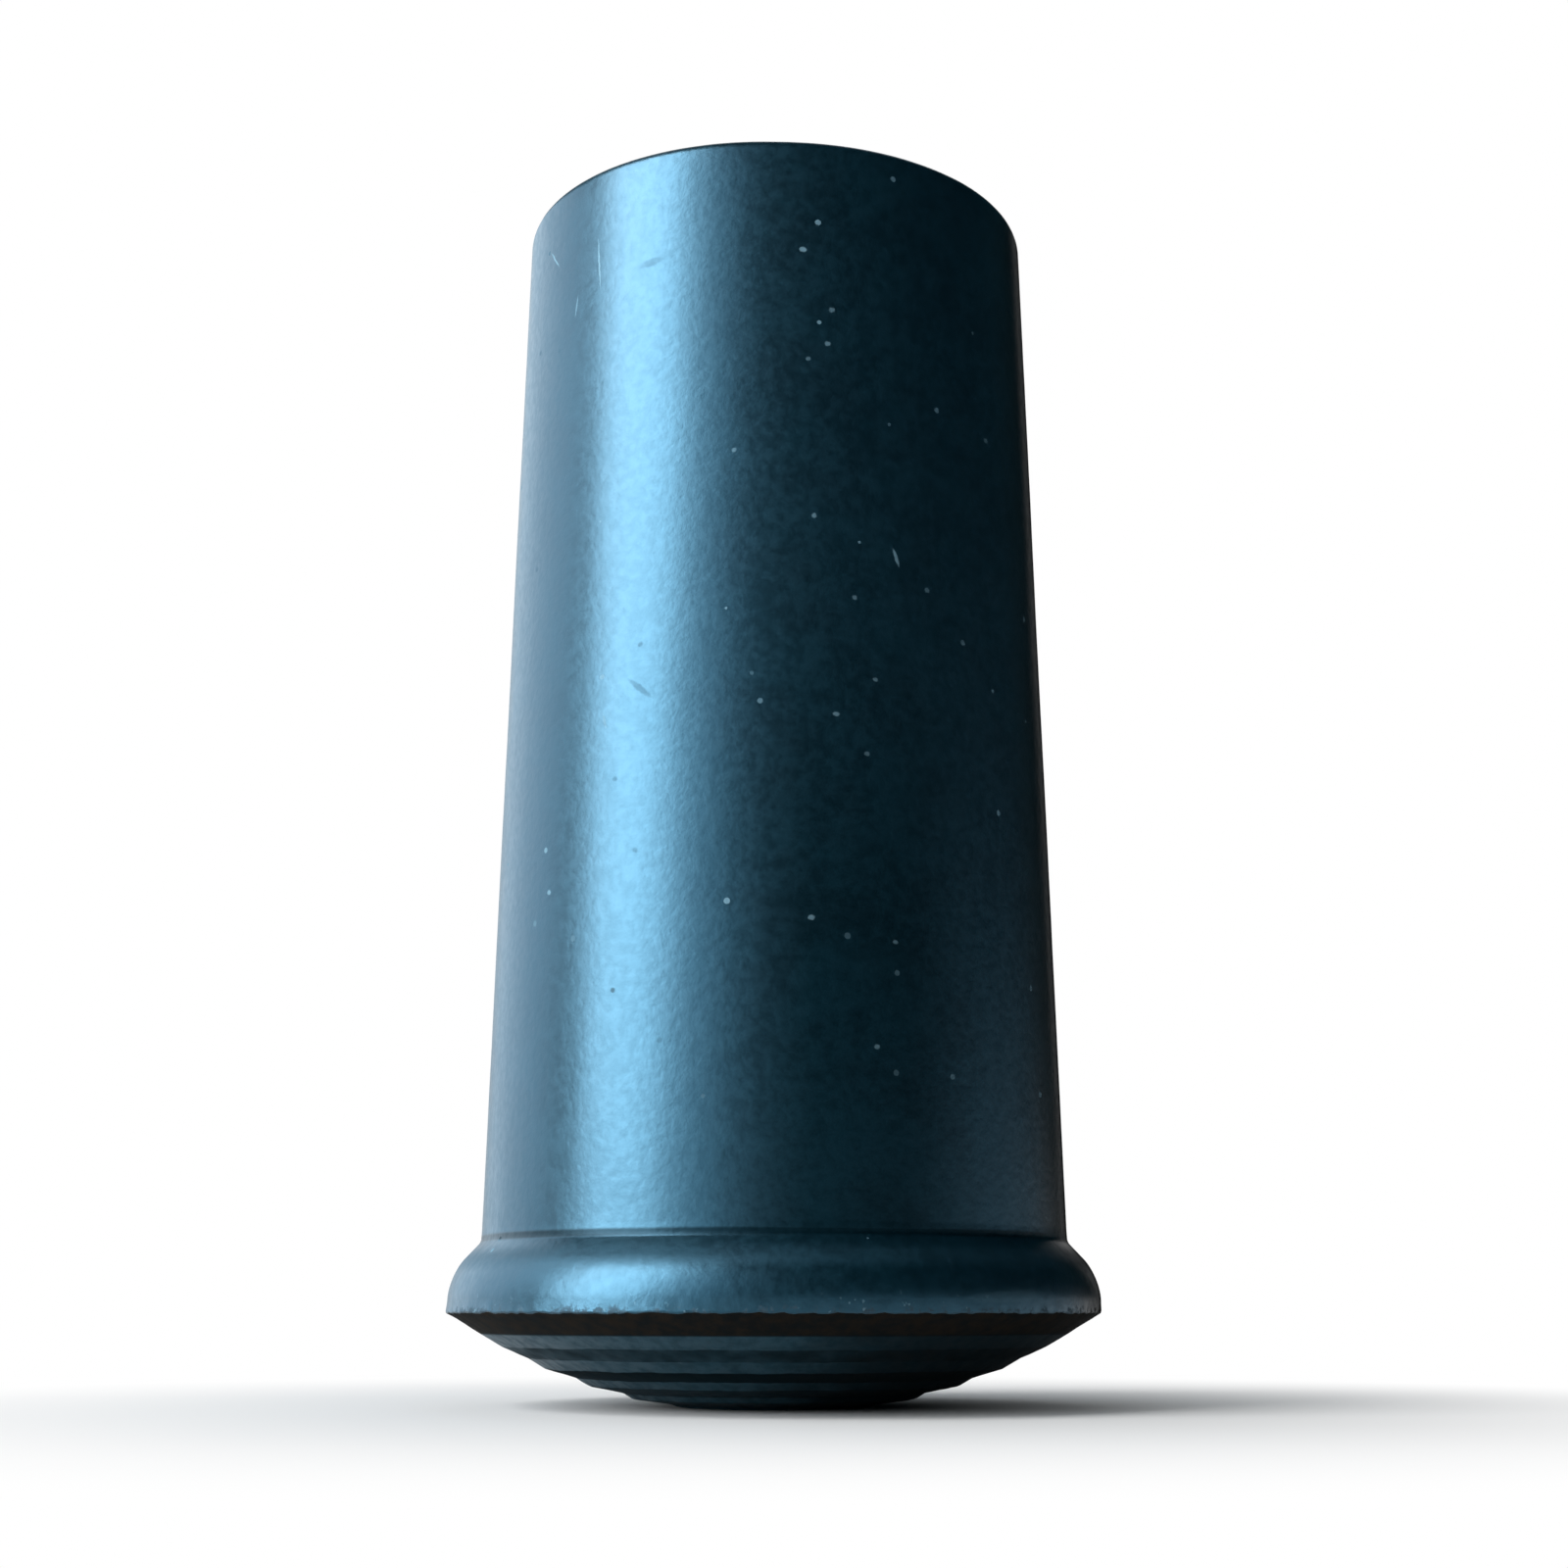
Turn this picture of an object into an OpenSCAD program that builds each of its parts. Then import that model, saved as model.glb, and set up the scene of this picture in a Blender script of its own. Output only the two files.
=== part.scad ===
// Rubber cane tip: a tapered socket on a bulged flange, with a stepped, domed tread.
// Millimetres, +Z up, sole on z = 0, the cane's axis on Z.

/* [Sleeve] */
// Height of the whole tip, from the sole to the mouth
overall_h = 57.1; // [48:0.1:75]
// Outside diameter at the mouth
mouth_d = 24.9; // [22.5:0.1:28]
// Outside diameter where the straight taper ends, just above the neck
taper_end_d = 27.0; // [25:0.1:27.4]
// Height of the taper's end above the flange's lip
taper_end_h = 4.9; // [4.2:0.1:9]
// Rounding of the mouth's outer edge
mouth_edge_r = 0.5; // [0.2:0.1:1.2]

/* [Bore] */
// Diameter of the socket that the cane's shaft is pushed into
bore_d = 19.0; // [16:0.1:21]
// Solid rubber between the sole and the bore's floor
floor_t = 11.5; // [8:0.5:20]
// Rounding of the bore's mouth, which leads the shaft in
lead_in_r = 0.6; // [0.2:0.1:1.2]
// Fillet round the bore's floor
floor_fillet_r = 1.5; // [0.5:0.1:4]

/* [Flange] */
// Diameter of the flange, the widest part
flange_d = 30.0; // [28.5:0.1:36]
// Height of the flange's lip above the sole
lip_h = 4.2; // [3:0.1:6]
// Height above the lip at which the shoulder's slope would meet the flange's side
shoulder_h = 1.6; // [1.2:0.1:2.2]
// Radius of the bulge between the flange's side and its shoulder
bulge_r = 2.7; // [0.5:0.1:3]
// Diameter at the foot of the neck
neck_d = 27.5; // [27.3:0.05:28]
// Height of the neck's foot above the lip
neck_h = 2.95; // [2.5:0.05:3.3]
// Fillet between the neck and the shoulder
neck_fillet_r = 1.1; // [0.5:0.1:2.4]
// Diameter of the crease where the sleeve meets the neck
crease_d = 27.25; // [27.05:0.05:27.45]
// Height of the crease above the lip
crease_h = 3.55; // [3.35:0.05:4]
// Rounding of the lip's lower edge
lip_edge_r = 0.12; // [0.05:0.01:0.3]

/* [Tread] */
// Number of steps from the lip down to the sole
ring_count = 5; // [2:1:5]
// Distance in from the lip to the outermost step, at half its height
lip_band = 2.0; // [1.5:0.1:3]
// Distance from each step to the next one in
ring_pitch = 2.1; // [1.4:0.1:2.4]
// Share of the dome's fall from ring to ring that the steps take, the rest being slope
step_share = 0.5; // [0.3:0.05:0.6]
// Lean of each step's wall from upright, in degrees
step_lean = 60; // [20:1:62]
// Rounding of each step's lower edge
step_edge_r = 0.35; // [0.1:0.05:0.4]
// Height of the dome's crown that the flat sole cuts off
crown_cut = 0.35; // [0.2:0.05:0.6]

/* [Hidden] */
$fn = 96;

// Most that an arc may turn between two of its points, in degrees
arc_step = 9;
// Most of a side that roundings may take up between them
side_share = 0.98;

mouth_r = mouth_d / 2;
bore_r = bore_d / 2;
flange_r = flange_d / 2;
ring_r = flange_r - lip_band;

// The dome under the flange: a ball that passes through the lip and is cut flat by the sole
crown_h = lip_h + crown_cut;
dome_r = (flange_r * flange_r + crown_h * crown_h) / (2 * crown_h);

// Height of the dome above the sole at a radius
function dome_z(r) = dome_r - crown_cut - sqrt(dome_r * dome_r - r * r);

// Radius of each step at half its height, counted from the outside
function step_r(i) = ring_r - i * ring_pitch;

// Height of each step: its share of the dome's fall over one pitch
function step_h(i) =
    step_share * (dome_z(step_r(i) + ring_pitch / 2) - dome_z(step_r(i) - ring_pitch / 2));

// Bottom of each step; the innermost one ends in the sole
function step_foot_z(i) =
    i == ring_count - 1 ? 0 : dome_z(step_r(i)) - step_h(i) / 2;

// Foot and head of one step as corners: radius, height, rounding
function step_corners(i) =
    let (half_lean = step_h(i) / 2 * tan(step_lean))
    [
        [step_r(i) - half_lean, step_foot_z(i), step_edge_r],
        [step_r(i) + half_lean, dome_z(step_r(i)) + step_h(i) / 2, 0]
    ];

// Corners of the half section, anticlockwise from the sole's centre: radius, height, rounding
section_corners = [
    [0, 0, 0],
    for (i = [ring_count - 1:-1:0]) each step_corners(i),
    [flange_r, lip_h, lip_edge_r],
    [flange_r, lip_h + shoulder_h, bulge_r],
    [neck_d / 2, lip_h + neck_h, neck_fillet_r],
    [crease_d / 2, lip_h + crease_h, 0],
    [taper_end_d / 2, lip_h + taper_end_h, 0],
    [mouth_r, overall_h, mouth_edge_r],
    [bore_r, overall_h, lead_in_r],
    [bore_r, floor_t, floor_fillet_r],
    [0, floor_t, 0]
];

// A corner's place in the section, and its neighbours' numbers round the outline
function place(corner) = [corner.x, corner.y];
function before(corners, i) = (i + len(corners) - 1) % len(corners);
function after(corners, i) = (i + 1) % len(corners);

// Unit vector from one corner to another
function toward(from, to) = (place(to) - place(from)) / norm(place(to) - place(from));

// Turn of the outline at a corner, in degrees: positive where it is convex
function turn(corners, i) =
    let (
        inward = toward(corners[before(corners, i)], corners[i]),
        outward = toward(corners[i], corners[after(corners, i)])
    )
    atan2(cross(inward, outward), inward * outward);

// Length of side that a corner's full rounding takes, and the part of it that its sides can give
function reach_wanted(corners, i) = corners[i].z * tan(abs(turn(corners, i)) / 2);
function reach_given(corners, i, neighbour) =
    let (
        side = norm(place(corners[neighbour]) - place(corners[i])),
        wanted = reach_wanted(corners, i)
    )
    min(wanted, side_share * side * wanted / (wanted + reach_wanted(corners, neighbour)));
function reach(corners, i) = min(
    reach_given(corners, i, before(corners, i)),
    reach_given(corners, i, after(corners, i)));

// Points along the arc that rounds a corner
function arc_points(corners, i) =
    let (
        bend = turn(corners, i),
        radius = reach(corners, i) / tan(abs(bend) / 2),
        back = toward(corners[i], corners[before(corners, i)]),
        start = place(corners[i]) + reach(corners, i) * back,
        // The centre lies square to the side, on the side that the outline turns to
        centre = start + radius * sign(bend) * [back.y, -back.x],
        spoke = start - centre,
        first = atan2(spoke.y, spoke.x),
        count = ceil(abs(bend) / arc_step)
    )
    [for (k = [0:count])
        centre + radius * [cos(first + bend * k / count), sin(first + bend * k / count)]];

// The outline through the corners, with each one rounded as it asks
function rounded_outline(corners) =
    [for (i = [0:len(corners) - 1])
        each corners[i].z > 0 ? arc_points(corners, i) : [place(corners[i])]];

// The whole tip is one moulding, so it is one turned section
module cane_tip() {
    color([0.07, 0.11, 0.13])
        rotate_extrude()
            polygon(rounded_outline(section_corners));
}

cane_tip();
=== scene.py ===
"""Rubber cane tip: the moulding with its worn surface, and a plain studio round it."""

import math

import bmesh
import bpy
from bpy.props import FloatProperty, FloatVectorProperty, IntProperty, PointerProperty
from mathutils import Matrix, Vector, noise


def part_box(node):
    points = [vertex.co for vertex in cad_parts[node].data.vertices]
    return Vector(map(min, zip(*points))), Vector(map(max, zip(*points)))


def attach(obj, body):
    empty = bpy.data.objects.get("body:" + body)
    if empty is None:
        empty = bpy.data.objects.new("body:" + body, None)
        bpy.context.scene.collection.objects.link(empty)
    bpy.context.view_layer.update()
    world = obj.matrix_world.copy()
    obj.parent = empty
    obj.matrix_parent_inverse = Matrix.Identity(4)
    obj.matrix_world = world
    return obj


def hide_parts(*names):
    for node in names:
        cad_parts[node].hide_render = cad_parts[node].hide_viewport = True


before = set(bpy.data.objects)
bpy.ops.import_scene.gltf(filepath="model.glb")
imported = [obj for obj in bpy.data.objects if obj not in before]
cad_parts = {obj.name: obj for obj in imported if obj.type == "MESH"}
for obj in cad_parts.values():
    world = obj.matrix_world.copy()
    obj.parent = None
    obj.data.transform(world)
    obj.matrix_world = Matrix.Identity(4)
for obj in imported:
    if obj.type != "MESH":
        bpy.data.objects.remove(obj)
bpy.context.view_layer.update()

bl_info = {
    "name": "Rubber Cane Tip",
    "version": (1, 0, 0),
    "blender": (4, 5, 0),
    "location": "3D View > Sidebar > Cane Tip",
    "description": "Models a moulded rubber cane tip and the studio it is shown in",
    "category": "Add Mesh",
}

NODE = "cane_tip"
BODY = "root"
MM = 0.001
UP = Vector((0.0, 0.0, 1.0))
BODY_INDEX, WORN_INDEX = 0, 1
CAD_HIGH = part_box(NODE)[1]

# Roundings of the section's corners: radius and number of segments
SHARP = (0.0, 0)
STEP_FOOT = (0.5 * MM, 6)
STEP_HEAD = (0.3 * MM, 4)
LIP_EDGE = (0.12 * MM, 5)
BULGE = (2.7 * MM, 14)
NECK_FILLET = (0.4 * MM, 6)
CREASE_EDGE = (0.5 * MM, 2)
TAPER_END = (3.0 * MM, 3)
MOUTH_EDGE = (0.5 * MM, 9)
LEAD_IN = (0.6 * MM, 9)
BORE_FLOOR = (1.5 * MM, 9)

# Textures of the rubber: scale in cycles per millimetre, detail and roughness
PATCHES = (0.35, 3.0, 0.5)
MOTTLE = (1.3, 3.0, 0.65)
STREAKS = (0.9, 2.0, 0.5)
GRAIN = (2.6, 2.0, 0.5)
LIP_CHIPS = (1.5, 4.0, 0.8)
LIP_DUST_GRAIN = (3.6, 1.0, 0.5)
WORN_MOTTLE = (1.6, 3.0, 0.6)
WORN_PATCHES = (0.4, 2.0, 0.5)

# Fades by height above the lip, in millimetres: where each starts and where it is full
LIP_DIRT_FADE = (0.50, 0.05)
LIP_DUST_FADE = (1.1, 0.1)
TREAD_EDGE_FADE = (-0.5, -0.4)
UNDER_LIP_FADE = (-1.0, -0.85)
STEPS_FADE = (-0.9, -1.0)
SHOULDER_FOOT_FADE = (1.6, 2.2)
SHOULDER_HEAD_FADE = (2.9, 2.4)
NECK_FADE = (2.8, 3.6)

# Fades by height above the sole, in millimetres
SHADE_PATCH_FADE = (46.0, 16.0)
SOLE_FADE = (1.8, 0.2)

# Lamps: name, its brightness in StudioSettings, azimuth and elevation in degrees, width and
# height in metres, tint. Azimuth is 0 at the camera and positive to its right.
LAMP_DISTANCE = 0.5
LAMPS = (
    ("key_lamp", "key_radiance", -62.5, 26, 0.29, 0.52, (1.0, 1.0, 1.0)),
    ("fill_lamp", "fill_radiance", -36, 20, 0.27, 0.50, (0.72, 0.90, 1.0)),
    ("right_lamp", "right_radiance", 98, 6, 0.20, 0.08, (0.35, 0.8, 1.0)),
    ("left_lamp", "left_radiance", -125, 18, 0.52, 0.42, (0.75, 0.89, 1.0)),
    ("back_lamp", "back_radiance", 180, 58, 0.30, 0.20, (1.0, 1.0, 1.0)),
)


class TipSizes(bpy.types.PropertyGroup):
    """Sizes of the moulding's section"""

    overall_h: FloatProperty(
        name="Overall height", description="From the sole to the mouth",
        default=CAD_HIGH.z, unit="LENGTH")
    flange_r: FloatProperty(
        name="Flange radius", description="Radius of the widest part",
        default=CAD_HIGH.x, unit="LENGTH")
    mouth_r: FloatProperty(
        name="Mouth radius", description="Outside radius at the mouth",
        default=12.45 * MM, unit="LENGTH")
    bore_r: FloatProperty(
        name="Bore radius", description="Radius of the socket for the cane's shaft",
        default=9.5 * MM, unit="LENGTH")
    floor_t: FloatProperty(
        name="Floor thickness", description="Rubber between the sole and the bore's floor",
        default=11.5 * MM, unit="LENGTH")
    lip_h: FloatProperty(
        name="Lip height", description="Height of the flange's lip above the sole",
        default=4.2 * MM, unit="LENGTH")
    shoulder_h: FloatProperty(
        name="Shoulder height",
        description="Height above the lip at which the shoulder's slope begins",
        default=1.6 * MM, unit="LENGTH")
    neck_r: FloatProperty(
        name="Neck radius", description="Radius at the foot of the neck",
        default=13.56 * MM, unit="LENGTH")
    neck_h: FloatProperty(
        name="Neck height", description="Height of the neck's foot above the lip",
        default=3.13 * MM, unit="LENGTH")
    crease_r: FloatProperty(
        name="Crease radius", description="Radius of the crease where the sleeve meets the neck",
        default=13.53 * MM, unit="LENGTH")
    crease_h: FloatProperty(
        name="Crease height", description="Height of the crease above the lip",
        default=3.65 * MM, unit="LENGTH")
    taper_end_r: FloatProperty(
        name="Taper's end radius", description="Radius where the straight taper ends",
        default=13.5 * MM, unit="LENGTH")
    taper_end_h: FloatProperty(
        name="Taper's end height", description="Height of the taper's end above the lip",
        default=4.9 * MM, unit="LENGTH")
    ring_count: IntProperty(
        name="Tread steps", description="Steps from the lip down to the sole", default=5, min=1)
    lip_band: FloatProperty(
        name="Lip band", description="From the lip in to the outermost step at half its height",
        default=2.0 * MM, unit="LENGTH")
    ring_pitch: FloatProperty(
        name="Step pitch", description="Distance from each step to the next one in",
        default=2.1 * MM, unit="LENGTH")
    step_share: FloatProperty(
        name="Step share", description="Share of the dome's fall that the steps take",
        default=0.5, subtype="FACTOR")
    step_lean: FloatProperty(
        name="Step lean", description="Lean of each step's wall from upright",
        default=math.radians(60), unit="ROTATION")
    crown_cut: FloatProperty(
        name="Crown cut", description="Height of the dome's crown that the sole cuts off",
        default=0.35 * MM, unit="LENGTH")
    around: IntProperty(
        name="Faces around", description="Faces round the moulding", default=480, min=24)
    sleeve_pitch: FloatProperty(
        name="Sleeve face height", description="Height of the faces up the sleeve",
        default=1.2 * MM, unit="LENGTH")


class TipWear(bpy.types.PropertyGroup):
    """How far the moulding departs from its true section"""

    sway: FloatProperty(
        name="Sway", description="Slow unevenness of the wall",
        default=0.018 * MM, unit="LENGTH")
    flash: FloatProperty(
        name="Flash", description="Most that the lip's flash stands out",
        default=0.07 * MM, unit="LENGTH")
    ragged: FloatProperty(
        name="Ragged edge", description="Unevenness of the lip's torn edge",
        default=0.07 * MM, unit="LENGTH")
    scuff: FloatProperty(
        name="Tread wear", description="Unevenness of the worn steps",
        default=0.05 * MM, unit="LENGTH")
    rim_rise: FloatProperty(
        name="Rim rise", description="How far the mouth's rim stands up on its left",
        default=0.25 * MM, unit="LENGTH")
    rim_reach: FloatProperty(
        name="Rim reach", description="How far below the mouth the rise begins",
        default=6 * MM, unit="LENGTH")


class TipFinish(bpy.types.PropertyGroup):
    """Colours and gloss of the rubber"""

    black: FloatVectorProperty(
        name="Black", description="Clean rubber", subtype="COLOR", default=(0.0004, 0.005, 0.0075))
    bloom: FloatVectorProperty(
        name="Bloom", description="Wax bloom on the rubber", subtype="COLOR",
        default=(0.0012, 0.010, 0.015))
    dust: FloatVectorProperty(
        name="Dust", description="Specks of dust", subtype="COLOR", default=(0.12, 0.20, 0.24))
    # Brown of the grime in the lip's chips; the same brown is painted in as shade and as a
    # reflection under the lip and on the right-hand side
    grime_and_painted_brown: FloatVectorProperty(
        name="Grime", description="Brown grime under the lip", subtype="COLOR",
        default=(0.015, 0.011, 0.0075))
    # Painted light: the blue-grey that lightens the steps' walls and the tread near the sole, more
    # on the left
    painted_tread_light: FloatVectorProperty(
        name="Tread bloom", description="Blue-grey wear towards the sole", subtype="COLOR",
        default=(0.006, 0.036, 0.054))
    sheen_tint: FloatVectorProperty(
        name="Gloss tint", description="Tint of the reflections", subtype="COLOR",
        default=(0.27, 0.68, 1.0))
    gloss: FloatProperty(
        name="Gloss", description="Specular level", default=1.0, subtype="FACTOR")
    ior: FloatProperty(name="IOR", description="Index of refraction", default=1.6)
    smooth_rough: FloatProperty(
        name="Least roughness", description="Roughness of the shiniest patches",
        default=0.325, subtype="FACTOR")
    dull_rough: FloatProperty(
        name="Most roughness", description="Roughness of the dullest patches",
        default=0.385, subtype="FACTOR")
    worn_gloss: FloatProperty(
        name="Worn gloss", description="Specular level of the tread's worn faces",
        default=0.2, subtype="FACTOR")
    worn_rough: FloatProperty(
        name="Worn roughness", description="Roughness of the tread's worn faces",
        default=0.8, subtype="FACTOR")


class StudioSettings(bpy.types.PropertyGroup):
    """Camera, lamps and background"""

    camera_distance: FloatProperty(
        name="Camera distance", description="From the cane's axis",
        default=107.1 * MM, unit="LENGTH")
    camera_h: FloatProperty(
        name="Camera height", description="Above the floor", default=4.23 * MM, unit="LENGTH")
    camera_pitch: FloatProperty(
        name="Camera pitch", description="How far the camera looks up",
        default=math.radians(13.18), unit="ROTATION")
    camera_yaw: FloatProperty(
        name="Camera yaw", description="How far the camera is turned to the right",
        default=math.radians(0.24), unit="ROTATION")
    camera_lens: FloatProperty(
        name="Lens", description="Focal length", default=51.73, unit="CAMERA")
    key_radiance: FloatProperty(
        name="Key lamp", description="Brightness of the tall lamp on the left", default=11.8)
    fill_radiance: FloatProperty(
        name="Fill lamp", description="Brightness of the weak lamp beside the key lamp",
        default=1.5)
    right_radiance: FloatProperty(
        name="Right lamp", description="Brightness of the weak lamp on the right", default=0.10)
    left_radiance: FloatProperty(
        name="Left lamp", description="Brightness of the wide lamp on the left, behind",
        default=2.2)
    back_radiance: FloatProperty(
        name="Back lamp", description="Brightness of the lamp above and behind", default=1.1)
    surround: FloatVectorProperty(
        name="Surround", description="Colour of the dim room", subtype="COLOR",
        default=(0.004, 0.020, 0.028))


def dome_z(sizes, radius):
    """Height above the sole of the dome that the tread follows."""
    crown_h = sizes.lip_h + sizes.crown_cut
    dome_r = (sizes.flange_r ** 2 + crown_h ** 2) / (2 * crown_h)
    return dome_r - sizes.crown_cut - math.sqrt(dome_r ** 2 - radius ** 2)


def tread_corners(sizes):
    """Corners of the stepped tread from the sole outwards: radius, height, rounding, segments."""
    corners = []
    for ring in reversed(range(sizes.ring_count)):
        radius = sizes.flange_r - sizes.lip_band - ring * sizes.ring_pitch
        outer, inner = radius + sizes.ring_pitch / 2, radius - sizes.ring_pitch / 2
        step_h = sizes.step_share * (dome_z(sizes, outer) - dome_z(sizes, inner))
        half_lean = step_h / 2 * math.tan(sizes.step_lean)
        head_z = dome_z(sizes, radius) + step_h / 2
        foot_z = 0.0 if ring == sizes.ring_count - 1 else head_z - step_h
        corners.append((radius - half_lean, foot_z, *STEP_FOOT))
        corners.append((radius + half_lean, head_z, *STEP_HEAD))
    return corners


def section_corners(sizes):
    """Corners of the half section from the sole's centre round to the bore's floor."""
    lip_h = sizes.lip_h
    return [
        (0.0, 0.0, *SHARP),
        *tread_corners(sizes),
        (sizes.flange_r, lip_h, *LIP_EDGE),
        (sizes.flange_r, lip_h + sizes.shoulder_h, *BULGE),
        (sizes.neck_r, lip_h + sizes.neck_h, *NECK_FILLET),
        (sizes.crease_r, lip_h + sizes.crease_h, *CREASE_EDGE),
        (sizes.taper_end_r, lip_h + sizes.taper_end_h, *TAPER_END),
        (sizes.mouth_r, sizes.overall_h, *MOUTH_EDGE),
        (sizes.bore_r, sizes.overall_h, *LEAD_IN),
        (sizes.bore_r, sizes.floor_t, *BORE_FLOOR),
        (0.0, sizes.floor_t, *SHARP),
    ]


def draw_section(bm, sizes):
    """Draws the half section as a chain of edges and rounds its corners."""
    corners = section_corners(sizes)
    chain = [bm.verts.new((radius, 0.0, height)) for radius, height, _, _ in corners]
    for near, far in zip(chain, chain[1:]):
        bm.edges.new((near, far))
    places = [vert.co.copy() for vert in chain]
    for i in range(1, len(corners) - 1):
        rounding, segments = corners[i][2:]
        turn = (places[i] - places[i - 1]).angle(places[i + 1] - places[i])
        bmesh.ops.bevel(
            bm, geom=[chain[i]], offset=rounding * math.tan(turn / 2), offset_type="OFFSET",
            segments=segments, profile=0.5, affect="VERTICES", material=-1)


def cut_long_edges(bm, sizes):
    """Cuts the section's long sides, so that the wall can be uneven along them."""
    tread_share, inside_share = 0.4, 4.0
    for edge in list(bm.edges):
        inside = min(vert.co.x for vert in edge.verts) < sizes.bore_r + MM
        tread = max(vert.co.z for vert in edge.verts) < sizes.lip_h + MM
        share = tread_share if tread else inside_share if inside else 1.0
        cuts = math.ceil(edge.calc_length() / (sizes.sleeve_pitch * share)) - 1
        if cuts > 0:
            bmesh.ops.subdivide_edges(bm, edges=[edge], cuts=cuts)


def two_noises(place, coarse_scale, fine_scale, fine_share):
    """A coarse noise with a share of a finer one."""
    return noise.noise(place * coarse_scale) + fine_share * noise.noise(place * fine_scale)


def wall_shift(place, outward, wear):
    """Slow and quick unevenness of the outer wall."""
    slow_scale, slow_rise, quick_scale, quick_share = 0.22, 0.10, 0.7, 0.35
    quick_offset = Vector((31.0, 7.0, 3.0))
    slow = noise.noise(Vector((place.x * slow_scale, place.y * slow_scale, place.z * slow_rise)))
    quick = noise.noise(place * quick_scale + quick_offset)
    return outward * wear.sway * (slow + quick_share * quick)


def lip_shift(place, outward, wear):
    """The lip's torn edge, with flash on its left."""
    torn = two_noises(place, 1.7, 4.1, 0.7)
    torn_outward = 0.4
    flash = wear.flash * max(0.0, -outward.x)
    return outward * (flash + wear.ragged * torn * torn_outward) + UP * wear.ragged * torn


def roughen(bm, sizes, wear):
    """Moves the moulding's points off the true section: sway, flash and worn steps."""
    still_r, still_z = sizes.bore_r * 0.45, 0.02 * MM
    wall_r, steps_r = sizes.bore_r + 0.5 * MM, sizes.flange_r - 0.3 * MM
    lip_r, lip_reach = sizes.flange_r - 0.5 * MM, 0.22 * MM
    for vert in bm.verts:
        radius = Vector((vert.co.x, vert.co.y)).length
        if radius < still_r or vert.co.z < still_z:
            continue
        outward = Vector((vert.co.x, vert.co.y, 0.0)) / radius
        place = vert.co / MM
        near_rim = 1.0 - (sizes.overall_h - vert.co.z) / wear.rim_reach
        near_lip = 1.0 - abs(vert.co.z - sizes.lip_h) / lip_reach
        shift = Vector((0.0, 0.0, 0.0))
        if radius > wall_r and vert.co.z > sizes.lip_h:
            shift += wall_shift(place, outward, wear)
        if radius < steps_r and vert.co.z < sizes.lip_h:
            shift += UP * wear.scuff * two_noises(place, 0.9, 2.3, 0.6) * 0.5
        if near_rim > 0.0:
            shift += UP * wear.rim_rise * near_rim * max(0.0, -outward.x)
        if near_lip > 0.0 and radius > lip_r:
            shift += near_lip * lip_shift(place, outward, wear)
        vert.co += shift


def piece_from(bm, name):
    """Makes a smooth-shaded object of a bmesh and frees it."""
    mesh = bpy.data.meshes.new(name)
    for face in bm.faces:
        face.smooth = True
    bm.to_mesh(mesh)
    bm.free()
    piece = bpy.data.objects.new(name, mesh)
    bpy.context.scene.collection.objects.link(piece)
    return piece


def is_worn(face, sizes):
    """Whether a face is under the lip, where the tread is worn dull."""
    below_lip = 0.05 * MM
    return face.calc_center_median().z < sizes.lip_h - below_lip


def build_moulding(sizes, wear):
    """Turns the section round the cane's axis and wears it."""
    same_place = 0.0005 * MM
    bm = bmesh.new()
    draw_section(bm, sizes)
    cut_long_edges(bm, sizes)
    bmesh.ops.spin(
        bm, geom=bm.verts[:] + bm.edges[:], cent=(0, 0, 0), axis=(0, 0, 1),
        angle=2 * math.pi, steps=sizes.around, use_merge=True, use_duplicate=False)
    bmesh.ops.remove_doubles(bm, verts=bm.verts[:], dist=same_place)
    bmesh.ops.recalc_face_normals(bm, faces=bm.faces[:])
    for face in bm.faces:
        face.material_index = WORN_INDEX if is_worn(face, sizes) else BODY_INDEX
    roughen(bm, sizes, wear)
    return piece_from(bm, "tip_moulding")


class Nodes:
    """Adds nodes to a material and links them."""

    def __init__(self, material):
        material.use_nodes = True
        self.tree = material.node_tree
        self.tree.nodes.clear()

    def add(self, kind, inputs=None, **settings):
        node = self.tree.nodes.new(kind)
        for name, value in settings.items():
            setattr(node, name, value)
        for name, value in (inputs or {}).items():
            if isinstance(value, bpy.types.NodeSocket):
                self.tree.links.new(value, node.inputs[name])
            else:
                node.inputs[name].default_value = value
        return node

    def math(self, operation, first, second=0.0, clamp=False):
        node = self.add(
            "ShaderNodeMath", {0: first, 1: second}, operation=operation, use_clamp=clamp)
        return node.outputs[0]

    def product(self, first, *others):
        for other in others:
            first = self.math("MULTIPLY", first, other)
        return first

    def most(self, first, *others):
        """The greatest of several values."""
        for other in others:
            first = self.math("MAXIMUM", first, other)
        return first

    def weighted(self, *parts):
        """The sum of several values, each times its weight."""
        total = None
        for value, weight in parts:
            part = self.math("MULTIPLY", value, weight)
            total = part if total is None else self.math("ADD", total, part)
        return total

    def length(self, vector):
        node = self.add("ShaderNodeVectorMath", {0: vector}, operation="LENGTH")
        return node.outputs["Value"]

    def noise(self, place, scale, detail, rough):
        node = self.add(
            "ShaderNodeTexNoise",
            {"Vector": place, "Scale": scale, "Detail": detail, "Roughness": rough})
        return node.outputs["Fac"]

    def steps(self, value, low, high, to_low=0.0, to_high=1.0):
        """Eases a value from one range to another."""
        node = self.add(
            "ShaderNodeMapRange",
            {"Value": value, "From Min": low, "From Max": high,
             "To Min": to_low, "To Max": to_high},
            interpolation_type="SMOOTHSTEP")
        return node.outputs["Result"]

    def blend(self, share, first, second):
        node = self.add(
            "ShaderNodeMix", {0: share, 6: first, 7: second}, data_type="RGBA", clamp_factor=True)
        return node.outputs[2]


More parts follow.
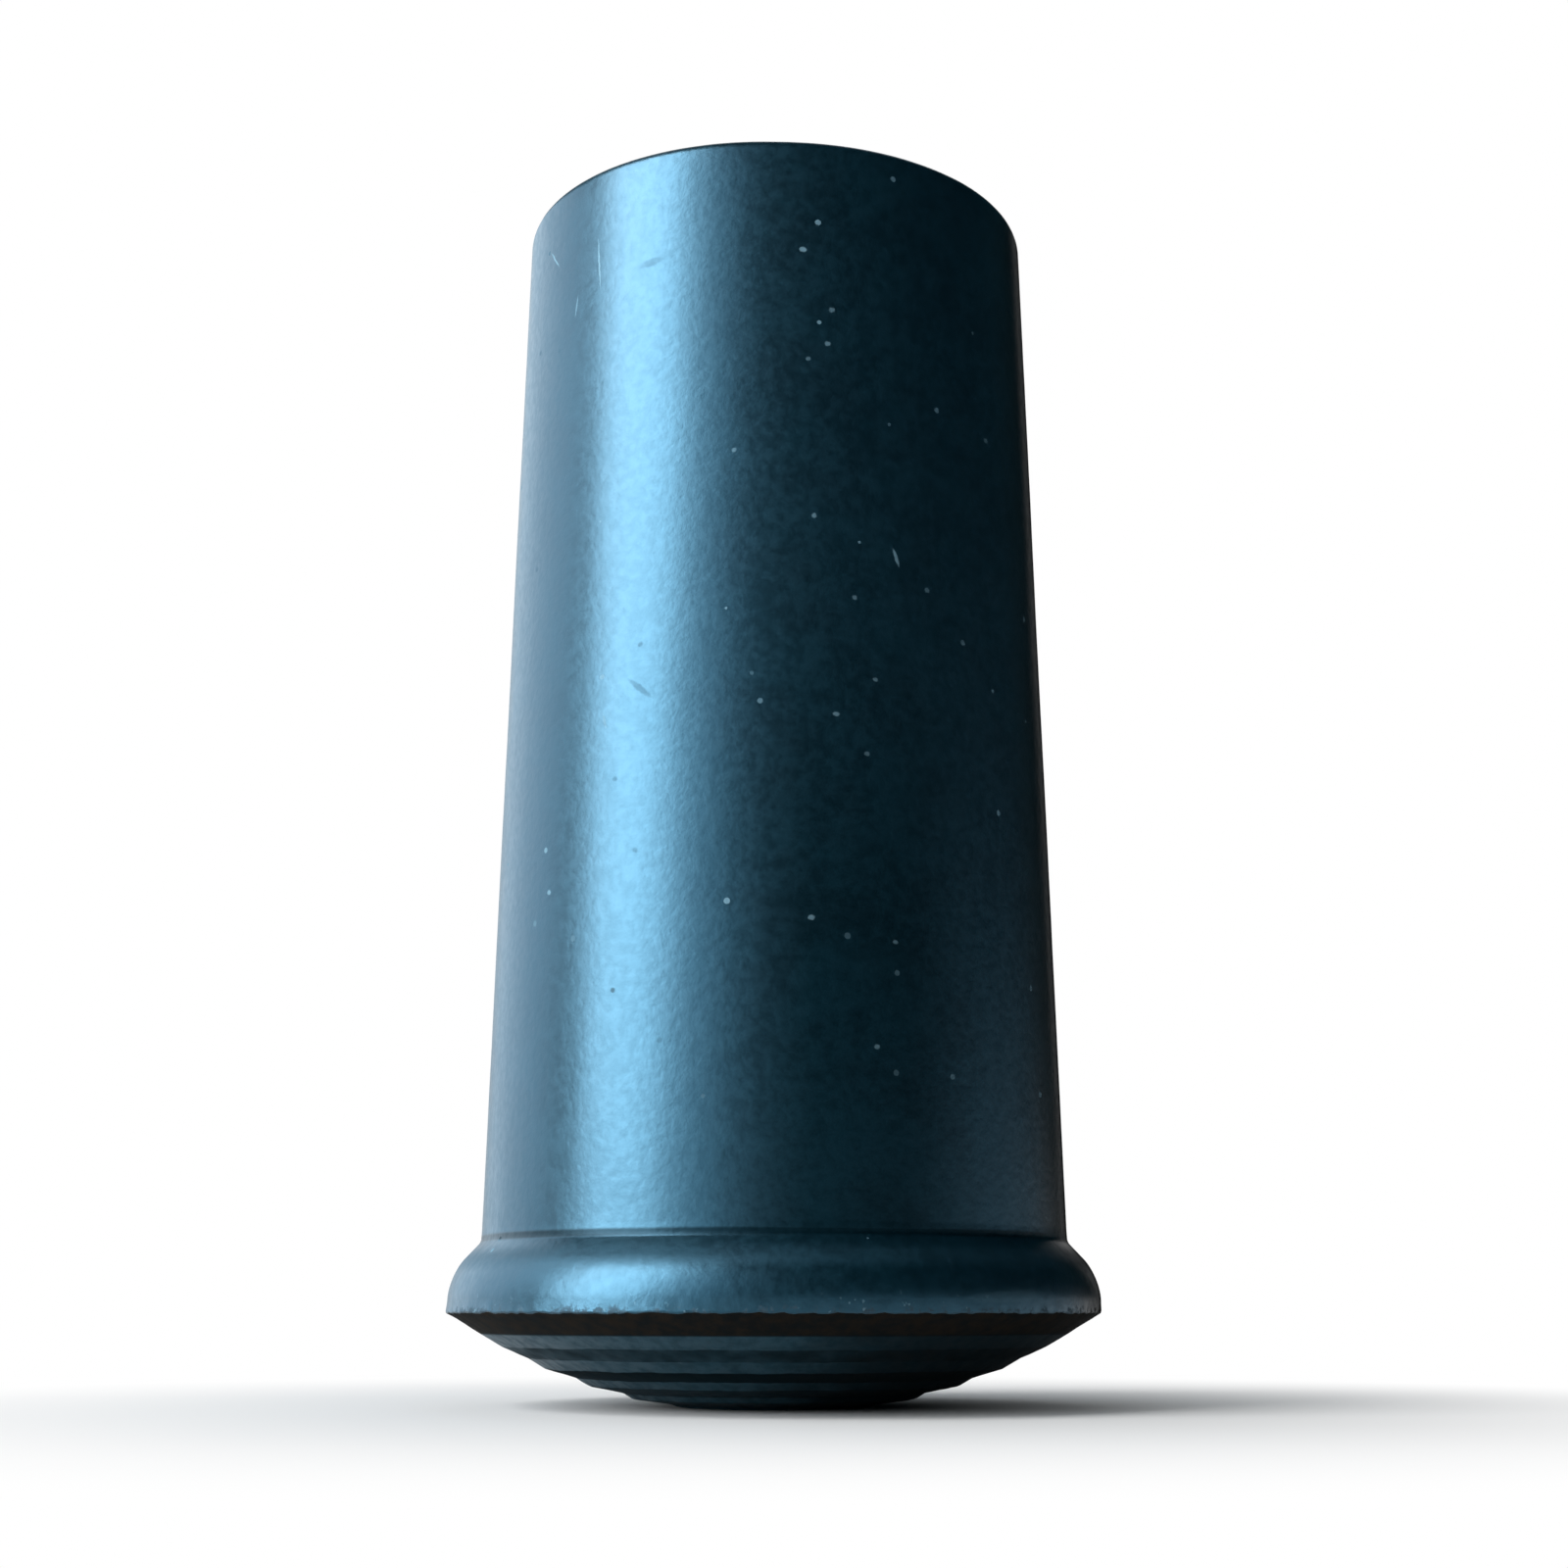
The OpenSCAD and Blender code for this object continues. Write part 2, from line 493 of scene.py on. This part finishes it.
class Surface(Nodes):
    """Nodes of a finish on the moulding, with the place on it in millimetres."""

    def __init__(self, name, sizes):
        self.material = bpy.data.materials.new(name)
        super().__init__(self.material)
        self.in_mm = self.scaled(1 / MM, 1 / MM)
        self.axes = self.add("ShaderNodeSeparateXYZ", {"Vector": self.in_mm}).outputs
        self.lip_mm = sizes.lip_h / MM

    def scaled(self, across, up):
        """Object coordinates, scaled across the moulding and up it."""
        place = self.add("ShaderNodeTexCoord").outputs["Object"]
        node = self.add("ShaderNodeMapping", {"Vector": place, "Scale": (across, across, up)})
        return node.outputs["Vector"]

    def from_axis(self):
        """Distance from the cane's axis."""
        level = self.add(
            "ShaderNodeVectorMath", {0: self.in_mm, 1: (1.0, 1.0, 0.0)}, operation="MULTIPLY")
        return self.length(level.outputs["Vector"])

    def above_lip(self, fade):
        """0 to 1 between two heights above the lip."""
        start, full = fade
        return self.steps(self.axes["Z"], self.lip_mm + start, self.lip_mm + full)

    def gap(self, value, centre):
        """How far a value is from a centre."""
        return self.math("ABSOLUTE", self.math("SUBTRACT", value, centre))

    def finished(self, finish, inputs):
        """Adds the shader and returns the material."""
        shader = self.add("ShaderNodeBsdfPrincipled", {
            "IOR": finish.ior, "Specular Tint": colour(finish.sheen_tint), **inputs})
        self.add("ShaderNodeOutputMaterial", {"Surface": shader.outputs[0]})
        return self.material


class WallMarks:
    """Scratches and specks on the outer wall, each placed by its azimuth and height."""

    def __init__(self, nodes, wall_r):
        self.nodes = nodes
        self.wall_r = wall_r
        toward_camera = nodes.math("MULTIPLY", nodes.axes["Y"], -1.0)
        azimuth = nodes.math("ARCTAN2", nodes.axes["X"], toward_camera)
        along = nodes.math("MULTIPLY", azimuth, wall_r)
        flat = nodes.add("ShaderNodeCombineXYZ", {"X": along, "Y": nodes.axes["Z"]})
        # A little waviness keeps the marks from being perfect ovals
        wave = nodes.add("ShaderNodeTexNoise", {"Vector": nodes.in_mm, "Scale": 4.0})
        sway = nodes.add(
            "ShaderNodeVectorMath", {0: wave.outputs["Color"], 1: (0.12, 0.12, 0.0)},
            operation="MULTIPLY")
        self.flat = nodes.add(
            "ShaderNodeVectorMath", {0: flat.outputs["Vector"], 1: sway.outputs["Vector"]},
            operation="ADD").outputs["Vector"]
        self.total = None

    def mark(self, azimuth, height, length, width, tilt=0.0, strength=1.0):
        """One oval mark, in millimetres; azimuth and tilt are in degrees, tilt from level."""
        soft_edge = (1.15, 0.6)
        place = (math.radians(azimuth) * self.wall_r, height, 0.0)
        local = self.nodes.add(
            "ShaderNodeMapping",
            {"Vector": self.flat, "Location": place, "Rotation": (0.0, 0.0, math.radians(tilt)),
             "Scale": (length / 2, width / 2, 1.0)},
            vector_type="TEXTURE")
        reach = self.nodes.length(local.outputs["Vector"])
        shade = self.nodes.steps(reach, *soft_edge, 0.0, strength)
        self.total = shade if self.total is None else self.nodes.most(self.total, shade)


def pale_marks(nodes, wall_r):
    """Pale scratches and the larger specks of dust."""
    marks = WallMarks(nodes, wall_r)
    marks.mark(-58, 53.9, 1.6, 0.13, tilt=-48, strength=0.8)
    marks.mark(-41, 52.3, 2.7, 0.12, tilt=96, strength=0.9)
    marks.mark(-48, 50.6, 1.1, 0.12, tilt=80, strength=0.5)
    marks.mark(25, 37.0, 0.9, 0.20, tilt=-70, strength=0.9)
    marks.mark(-35, 29.7, 0.7, 0.13, tilt=-75, strength=0.7)
    marks.mark(-36, 31.8, 0.30, 0.22, strength=0.8)
    marks.mark(6, 51.5, 0.40, 0.28, strength=0.8)
    marks.mark(12, 48.6, 0.32, 0.26, strength=0.5)
    marks.mark(11, 46.9, 0.30, 0.24, strength=0.6)
    marks.mark(7, 46.1, 0.26, 0.22, strength=0.4)
    marks.mark(-8, 41.7, 0.28, 0.22, strength=0.5)
    marks.mark(8, 38.6, 0.28, 0.24, strength=0.6)
    marks.mark(32, 35.7, 0.30, 0.24, strength=0.5)
    marks.mark(16, 34.9, 0.26, 0.22, strength=0.5)
    marks.mark(41, 33.6, 0.34, 0.28, strength=0.5)
    marks.mark(20, 31.2, 0.26, 0.20, strength=0.5)
    marks.mark(12, 29.5, 0.34, 0.22, strength=0.6)
    marks.mark(18, 27.8, 0.26, 0.22, strength=0.4)
    marks.mark(-49, 22.4, 0.30, 0.24, strength=0.7)
    marks.mark(7, 20.5, 0.34, 0.24, strength=0.6)
    marks.mark(23, 19.6, 0.28, 0.22, strength=0.5)
    marks.mark(19, 15.1, 0.30, 0.24, strength=0.6)
    marks.mark(51, 44.0, 0.36, 0.26, strength=0.5)
    marks.mark(-62, 7.4, 0.28, 0.24, strength=0.9)
    marks.mark(-61, 6.9, 0.24, 0.20, strength=0.9)
    marks.mark(41, 4.9, 4.4, 0.55, tilt=3, strength=0.12)
    return marks.total


def dark_marks(nodes, wall_r):
    """Pits and dull smears that break the lamp's reflection."""
    marks = WallMarks(nodes, wall_r)
    marks.mark(-27, 31.0, 1.6, 0.30, tilt=-38)
    marks.mark(-27, 51.5, 1.5, 0.45, tilt=5, strength=0.8)
    marks.mark(-64, 49.5, 0.34, 0.26)
    marks.mark(-54, 48.8, 0.30, 0.24)
    marks.mark(-60, 38.2, 0.36, 0.30)
    marks.mark(-27, 33.0, 0.30, 0.24)
    marks.mark(-32, 27.0, 0.30, 0.26)
    marks.mark(-27, 23.7, 0.28, 0.24)
    marks.mark(-50, 19.6, 0.32, 0.26)
    marks.mark(-21, 15.4, 0.34, 0.26)
    marks.mark(30, 6.1, 0.24, 1.0, strength=0.6)
    return marks.total


def colour(value):
    return (*value, 1.0)


def strewn_specks(nodes):
    """Dust strewn over the rubber: where the specks lie, and how pale each one is."""
    scale, size, rarity = 0.5, 0.07, 0.45
    faintest, palest = 0.15, 0.8
    cells = nodes.add(
        "ShaderNodeTexVoronoi", {"Vector": nodes.in_mm, "Scale": scale}, feature="F1").outputs
    pick = nodes.add("ShaderNodeSeparateColor", {"Color": cells["Color"]}).outputs["Red"]
    small = nodes.math("LESS_THAN", cells["Distance"], size)
    specks = nodes.product(small, nodes.math("GREATER_THAN", pick, rarity))
    return specks, nodes.product(specks, nodes.steps(pick, rarity, 1.0, faintest, palest))


def lip_dirt(nodes):
    """Grime in the chips of the lip's edge."""
    edge_share, chip_edge = 0.13, (0.60, 0.70)
    near_lip = nodes.above_lip(LIP_DIRT_FADE)
    chips = nodes.noise(nodes.in_mm, *LIP_CHIPS)
    chips = nodes.math("ADD", chips, nodes.product(near_lip, edge_share))
    chipped = nodes.steps(chips, *chip_edge)
    return nodes.product(near_lip, nodes.above_lip(TREAD_EDGE_FADE), chipped)


def lip_dust(nodes, patches):
    """Fine dust in patches just above the lip."""
    dust_edge, patch_edge, palest = (0.68, 0.74), (0.42, 0.56), 0.6
    dusty = nodes.steps(nodes.noise(nodes.in_mm, *LIP_DUST_GRAIN), *dust_edge)
    low = nodes.product(nodes.above_lip(LIP_DUST_FADE), nodes.above_lip(TREAD_EDGE_FADE))
    return nodes.product(dusty, low, nodes.steps(patches, *patch_edge, 0.0, palest))


def painted_crease_shade(nodes, sizes):
    """Painted shade in the crease at the foot of the sleeve."""
    above_neck, reach, full = 0.12, 0.26, 0.08
    crease_mm = (sizes.lip_h + sizes.neck_h) / MM + above_neck
    return nodes.steps(nodes.gap(nodes.axes["Z"], crease_mm), reach, full)


def painted_shade_patch(nodes):
    """Painted shade: a patch low on the front of the sleeve that loses gloss, which darkens its
    reflections there.
    """
    centre, reach, full, most_shade = 3.6, 7.0, 1.5, 0.65
    across = nodes.steps(nodes.gap(nodes.axes["X"], centre), reach, full)
    up = nodes.steps(nodes.axes["Z"], *SHADE_PATCH_FADE, 0.0, most_shade)
    return nodes.product(across, up, nodes.above_lip(NECK_FADE))


def rubber_relief(nodes, mottle, grain):
    """The fine texture of the moulded surface."""
    relief = nodes.math("ADD", nodes.product(mottle, 0.4), grain)
    bump = nodes.add(
        "ShaderNodeBump", {"Strength": 0.5, "Distance": 0.020 * MM, "Height": relief})
    return bump.outputs["Normal"]


def rubber_material(finish, sizes):
    """Black rubber with a blue bloom, dust, scratches and brown grime at the lip, and painted
    shade in the crease, low on the front and on the right-hand side, where a brown reflection is
    painted too.
    """
    nodes = Surface("moulded_rubber", sizes)
    streaks_up = 200.0
    patches = nodes.noise(nodes.in_mm, *PATCHES)
    mottle = nodes.noise(nodes.in_mm, *MOTTLE)
    streaks = nodes.noise(nodes.scaled(1 / MM, streaks_up), *STREAKS)
    grain = nodes.noise(nodes.in_mm, *GRAIN)

    # The bore has none of the wall's marks
    bore_mm, wall_r = sizes.bore_r / MM, sizes.neck_r / MM
    radius = nodes.from_axis()
    outside = nodes.steps(radius, bore_mm + 1.0, bore_mm + 1.5)
    pale = nodes.product(pale_marks(nodes, wall_r), outside)
    dark = nodes.product(dark_marks(nodes, wall_r), outside, 0.35)
    specks, speck_look = strewn_specks(nodes)
    dirt = lip_dirt(nodes)
    crease = painted_crease_shade(nodes, sizes)

    # Painted shade on the right-hand side: it loses gloss, and a little brown is painted in there
    # as a reflection of a brown surround
    side_edge, painted_brown_share = (0.78, 0.985), 0.3
    rightward = nodes.math("DIVIDE", nodes.axes["X"], radius)
    shaded_right_side = nodes.product(nodes.steps(rightward, *side_edge), outside)

    bloom_edge = (0.36, 0.62)
    bloom = nodes.steps(nodes.weighted((patches, 0.5), (mottle, 0.5)), *bloom_edge)
    dust = nodes.most(speck_look, lip_dust(nodes, patches), pale)
    base = nodes.blend(bloom, colour(finish.black), colour(finish.bloom))
    base = nodes.blend(dirt, base, colour(finish.grime_and_painted_brown))
    base = nodes.blend(dust, base, colour(finish.dust))
    # Painted brown reflection on the right-hand side
    base = nodes.blend(nodes.product(shaded_right_side, painted_brown_share), base, colour(finish.grime_and_painted_brown))
    # Painted shade in the crease: the base goes to black there
    base = nodes.blend(nodes.product(crease, outside), base, colour(finish.black))

    # Roughness: the mould's own, and what marks, dirt and the shoulder's wear add to it
    uneven_edge = (0.35, 0.65)
    uneven = nodes.weighted((mottle, 0.4), (streaks, 0.15), (grain, 0.45))
    rough = nodes.steps(uneven, *uneven_edge, finish.smooth_rough, finish.dull_rough)
    marked = nodes.most(specks, pale, dark)
    shoulder = nodes.product(
        nodes.above_lip(SHOULDER_FOOT_FADE), nodes.above_lip(SHOULDER_HEAD_FADE))
    for mask, added in ((marked, 0.35), (dirt, 0.35), (shoulder, 0.14)):
        rough = nodes.math("ADD", rough, nodes.product(mask, added), clamp=True)

    # Painted shade: the crease, the patch low on the front and the right-hand side lose gloss,
    # which darkens their reflections
    crease_shade_share = 0.65
    painted_shade_dulling = nodes.most(painted_shade_patch(nodes), nodes.product(crease, crease_shade_share), shaded_right_side)
    return nodes.finished(finish, {
        "Base Color": base,
        "Roughness": rough,
        "Specular IOR Level": nodes.steps(painted_shade_dulling, 0.0, 1.0, finish.gloss, 0.0),
        "Normal": rubber_relief(nodes, mottle, grain),
    })


def worn_material(finish, sizes):
    """Dull rubber of the tread, with blue-grey painted light on the steps' walls and near the
    sole, and painted brown shade and reflection next to the lip and on the right.
    """
    nodes = Surface("worn_rubber", sizes)
    mottle = nodes.noise(nodes.in_mm, *WORN_MOTTLE)
    patches = nodes.noise(nodes.in_mm, *WORN_PATCHES)

    # Painted shade on the right-hand side: the painted light fades out towards the right, and the
    # patches make its edge wavy
    edge_wave, lit_side_edge = 8.0, (11.0, 1.0)
    wavy_side = nodes.math("ADD", nodes.axes["X"], nodes.product(patches, edge_wave))
    lit_side = nodes.steps(wavy_side, *lit_side_edge)

    # The steps' walls lean out and face down less squarely than the flats between them
    wall_edge, sole_share = (-0.95, -0.87), 0.5
    normal = nodes.add("ShaderNodeTexCoord").outputs["Normal"]
    facing = nodes.add("ShaderNodeSeparateXYZ", {"Vector": normal}).outputs["Z"]
    walls = nodes.product(nodes.steps(facing, *wall_edge), nodes.above_lip(STEPS_FADE))
    near_sole = nodes.steps(nodes.axes["Z"], *SOLE_FADE, 0.0, sole_share)
    # Painted light: this mask lightens the steps' walls and the rubber near the sole to blue-grey
    # and makes them glossier, fading out on the right
    wear = nodes.product(
        nodes.most(walls, near_sole), nodes.steps(mottle, 0.3, 0.65, 0.7, 1.0),
        nodes.steps(lit_side, 0.0, 1.0, 0.22, 1.0))

    side_shade, lit_wall_smooth, least_gloss = 0.35, 0.4, 0.15
    shaded_side = nodes.product(nodes.math("SUBTRACT", 1.0, lit_side), side_shade)
    # Painted shade and painted brown reflection: the band under the lip and the right-hand side go
    # brown
    grime_and_painted_brown = nodes.product(
        nodes.most(nodes.above_lip(UNDER_LIP_FADE), shaded_side),
        nodes.steps(mottle, 0.3, 0.7, 0.4, 1.0))
    base = nodes.blend(wear, colour(finish.black), colour(finish.painted_tread_light))
    gloss = nodes.product(nodes.math("ADD", wear, least_gloss), finish.worn_gloss)
    return nodes.finished(finish, {
        "Base Color": nodes.blend(grime_and_painted_brown, base, colour(finish.grime_and_painted_brown)),
        "Roughness": nodes.math("SUBTRACT", finish.worn_rough, nodes.product(wear, lit_wall_smooth)),
        "Specular IOR Level": gloss,
    })


def background_rays(nodes):
    """1 for the rays that see the background: the camera's and those off or through gloss."""
    path = nodes.add("ShaderNodeLightPath").outputs
    return nodes.most(path["Is Camera Ray"], path["Is Glossy Ray"], path["Is Transmission Ray"])


def add_card(nodes, grey, white_share):
    """A matt grey card that shows plain white for a share of its rays."""
    card = nodes.add("ShaderNodeBsdfDiffuse", {"Color": (grey, grey, grey, 1.0)})
    white = nodes.add("ShaderNodeEmission", {"Color": (1.0, 1.0, 1.0, 1.0), "Strength": 1.0})
    mix = nodes.add(
        "ShaderNodeMixShader", {0: white_share, 1: card.outputs[0], 2: white.outputs[0]})
    nodes.add("ShaderNodeOutputMaterial", {"Surface": mix.outputs[0]})


def backdrop_material():
    """A white backdrop."""
    material = bpy.data.materials.new("white_backdrop")
    nodes = Nodes(material)
    add_card(nodes, 0.8, background_rays(nodes))
    return material


def floor_material():
    """A pale matt floor that fades to the backdrop's white away from the tip."""
    fade_start, fade_end = 5 * MM, 55 * MM
    material = bpy.data.materials.new("pale_floor")
    nodes = Nodes(material)
    away = nodes.length(nodes.add("ShaderNodeTexCoord").outputs["Object"])
    fade = nodes.product(nodes.steps(away, fade_start, fade_end), background_rays(nodes))
    add_card(nodes, 0.6, fade)
    return material


def add_floor():
    """A round floor under the tip."""
    bm = bmesh.new()
    bmesh.ops.create_circle(bm, cap_ends=True, segments=96, radius=8.0)
    floor = piece_from(bm, "floor")
    floor.data.materials.append(floor_material())


def add_backdrop():
    """A sheet that stands behind the tip and curves down on to the floor."""
    half_width, distance, bend_r, height = 0.54, 1.2, 0.15, 1.0
    over_floor, bend_faces = 0.0005, 24
    bm = bmesh.new()
    foot = bm.verts.new((-half_width, distance - bend_r, over_floor))
    swept = bmesh.ops.spin(
        bm, geom=[foot], cent=(-half_width, distance - bend_r, bend_r), axis=(1, 0, 0),
        angle=math.pi / 2, steps=bend_faces)
    last = [item for item in swept["geom_last"] if isinstance(item, bmesh.types.BMVert)]
    top = bmesh.ops.extrude_vert_indiv(bm, verts=last)["verts"]
    bmesh.ops.translate(bm, verts=top, vec=(0, 0, height))
    side = bmesh.ops.extrude_edge_only(bm, edges=bm.edges[:])["geom"]
    bmesh.ops.translate(
        bm, verts=[item for item in side if isinstance(item, bmesh.types.BMVert)],
        vec=(2 * half_width, 0, 0))
    backdrop = piece_from(bm, "backdrop")
    backdrop.data.materials.append(backdrop_material())


def add_lamp(name, azimuth, elevation, width, height, radiance, tint):
    """A soft rectangular lamp that faces the tip; its two angles are in radians."""
    lamp = bpy.data.lights.new(name, "AREA")
    lamp.shape = "RECTANGLE"
    lamp.size = width
    lamp.size_y = height
    lamp.energy = radiance * math.pi * width * height
    lamp.color = tint
    holder = bpy.data.objects.new(name, lamp)
    bpy.context.scene.collection.objects.link(holder)
    away = Vector((
        math.sin(azimuth) * math.cos(elevation),
        -math.cos(azimuth) * math.cos(elevation),
        math.sin(elevation)))
    holder.location = away * LAMP_DISTANCE
    holder.rotation_euler = away.to_track_quat("Z", "Y").to_euler()


def add_world(surround):
    """The dim room round the studio."""
    world = bpy.data.worlds.new("dim_room")
    bpy.context.scene.world = world
    world.use_nodes = True
    background = world.node_tree.nodes["Background"]
    background.inputs["Color"].default_value = colour(surround)
    background.inputs["Strength"].default_value = 1.0


def add_camera(studio):
    """The camera, at the photograph's viewing angle."""
    camera = bpy.data.cameras.new("camera")
    camera.lens = studio.camera_lens
    camera.sensor_width = 36.0
    camera.clip_start = 0.005
    camera.clip_end = 20.0
    holder = bpy.data.objects.new("camera", camera)
    holder.location = (0.0, -studio.camera_distance, studio.camera_h)
    holder.rotation_euler = (math.pi / 2 + studio.camera_pitch, 0.0, -studio.camera_yaw)
    bpy.context.scene.collection.objects.link(holder)
    bpy.context.scene.camera = holder


class CANETIP_OT_moulding(bpy.types.Operator):
    """Model the rubber moulding and give it its finish"""

    bl_idname = "canetip.moulding"
    bl_label = "Moulding"

    def execute(self, context):
        scene = context.scene
        piece = build_moulding(scene.tip_sizes, scene.tip_wear)
        piece.data.materials.append(rubber_material(scene.tip_finish, scene.tip_sizes))
        piece.data.materials.append(worn_material(scene.tip_finish, scene.tip_sizes))
        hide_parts(NODE)
        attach(piece, BODY)
        return {"FINISHED"}


class CANETIP_OT_studio(bpy.types.Operator):
    """Set up the floor, backdrop, lamps and camera"""

    bl_idname = "canetip.studio"
    bl_label = "Studio"

    def execute(self, context):
        studio = context.scene.tip_studio
        add_floor()
        add_backdrop()
        for name, brightness, azimuth, elevation, width, height, tint in LAMPS:
            add_lamp(
                name, math.radians(azimuth), math.radians(elevation), width, height,
                getattr(studio, brightness), tint)
        add_world(studio.surround)
        add_camera(studio)
        context.scene.view_settings.view_transform = "Standard"
        return {"FINISHED"}


class CANETIP_PT_panel(bpy.types.Panel):
    """Sizes, finish and operators of the cane tip"""

    bl_idname = "CANETIP_PT_panel"
    bl_label = "Rubber Cane Tip"
    bl_space_type = "VIEW_3D"
    bl_region_type = "UI"
    bl_category = "Cane Tip"

    def draw(self, context):
        layout = self.layout
        for operator in OPERATORS:
            layout.operator(operator.bl_idname)
        for name, _ in GROUPS:
            box = layout.box()
            group = getattr(context.scene, name)
            for prop in group.__annotations__:
                box.prop(group, prop)


GROUPS = (
    ("tip_sizes", TipSizes),
    ("tip_wear", TipWear),
    ("tip_finish", TipFinish),
    ("tip_studio", StudioSettings),
)
OPERATORS = (CANETIP_OT_moulding, CANETIP_OT_studio)


def register():
    for name, group in GROUPS:
        bpy.utils.register_class(group)
        setattr(bpy.types.Scene, name, PointerProperty(type=group))
    for cls in (*OPERATORS, CANETIP_PT_panel):
        bpy.utils.register_class(cls)


def unregister():
    for cls in reversed((*OPERATORS, CANETIP_PT_panel)):
        bpy.utils.unregister_class(cls)
    for name, group in reversed(GROUPS):
        delattr(bpy.types.Scene, name)
        bpy.utils.unregister_class(group)


def main():
    register()
    bpy.ops.canetip.moulding()
    bpy.ops.canetip.studio()


if __name__ == "__main__":
    main()
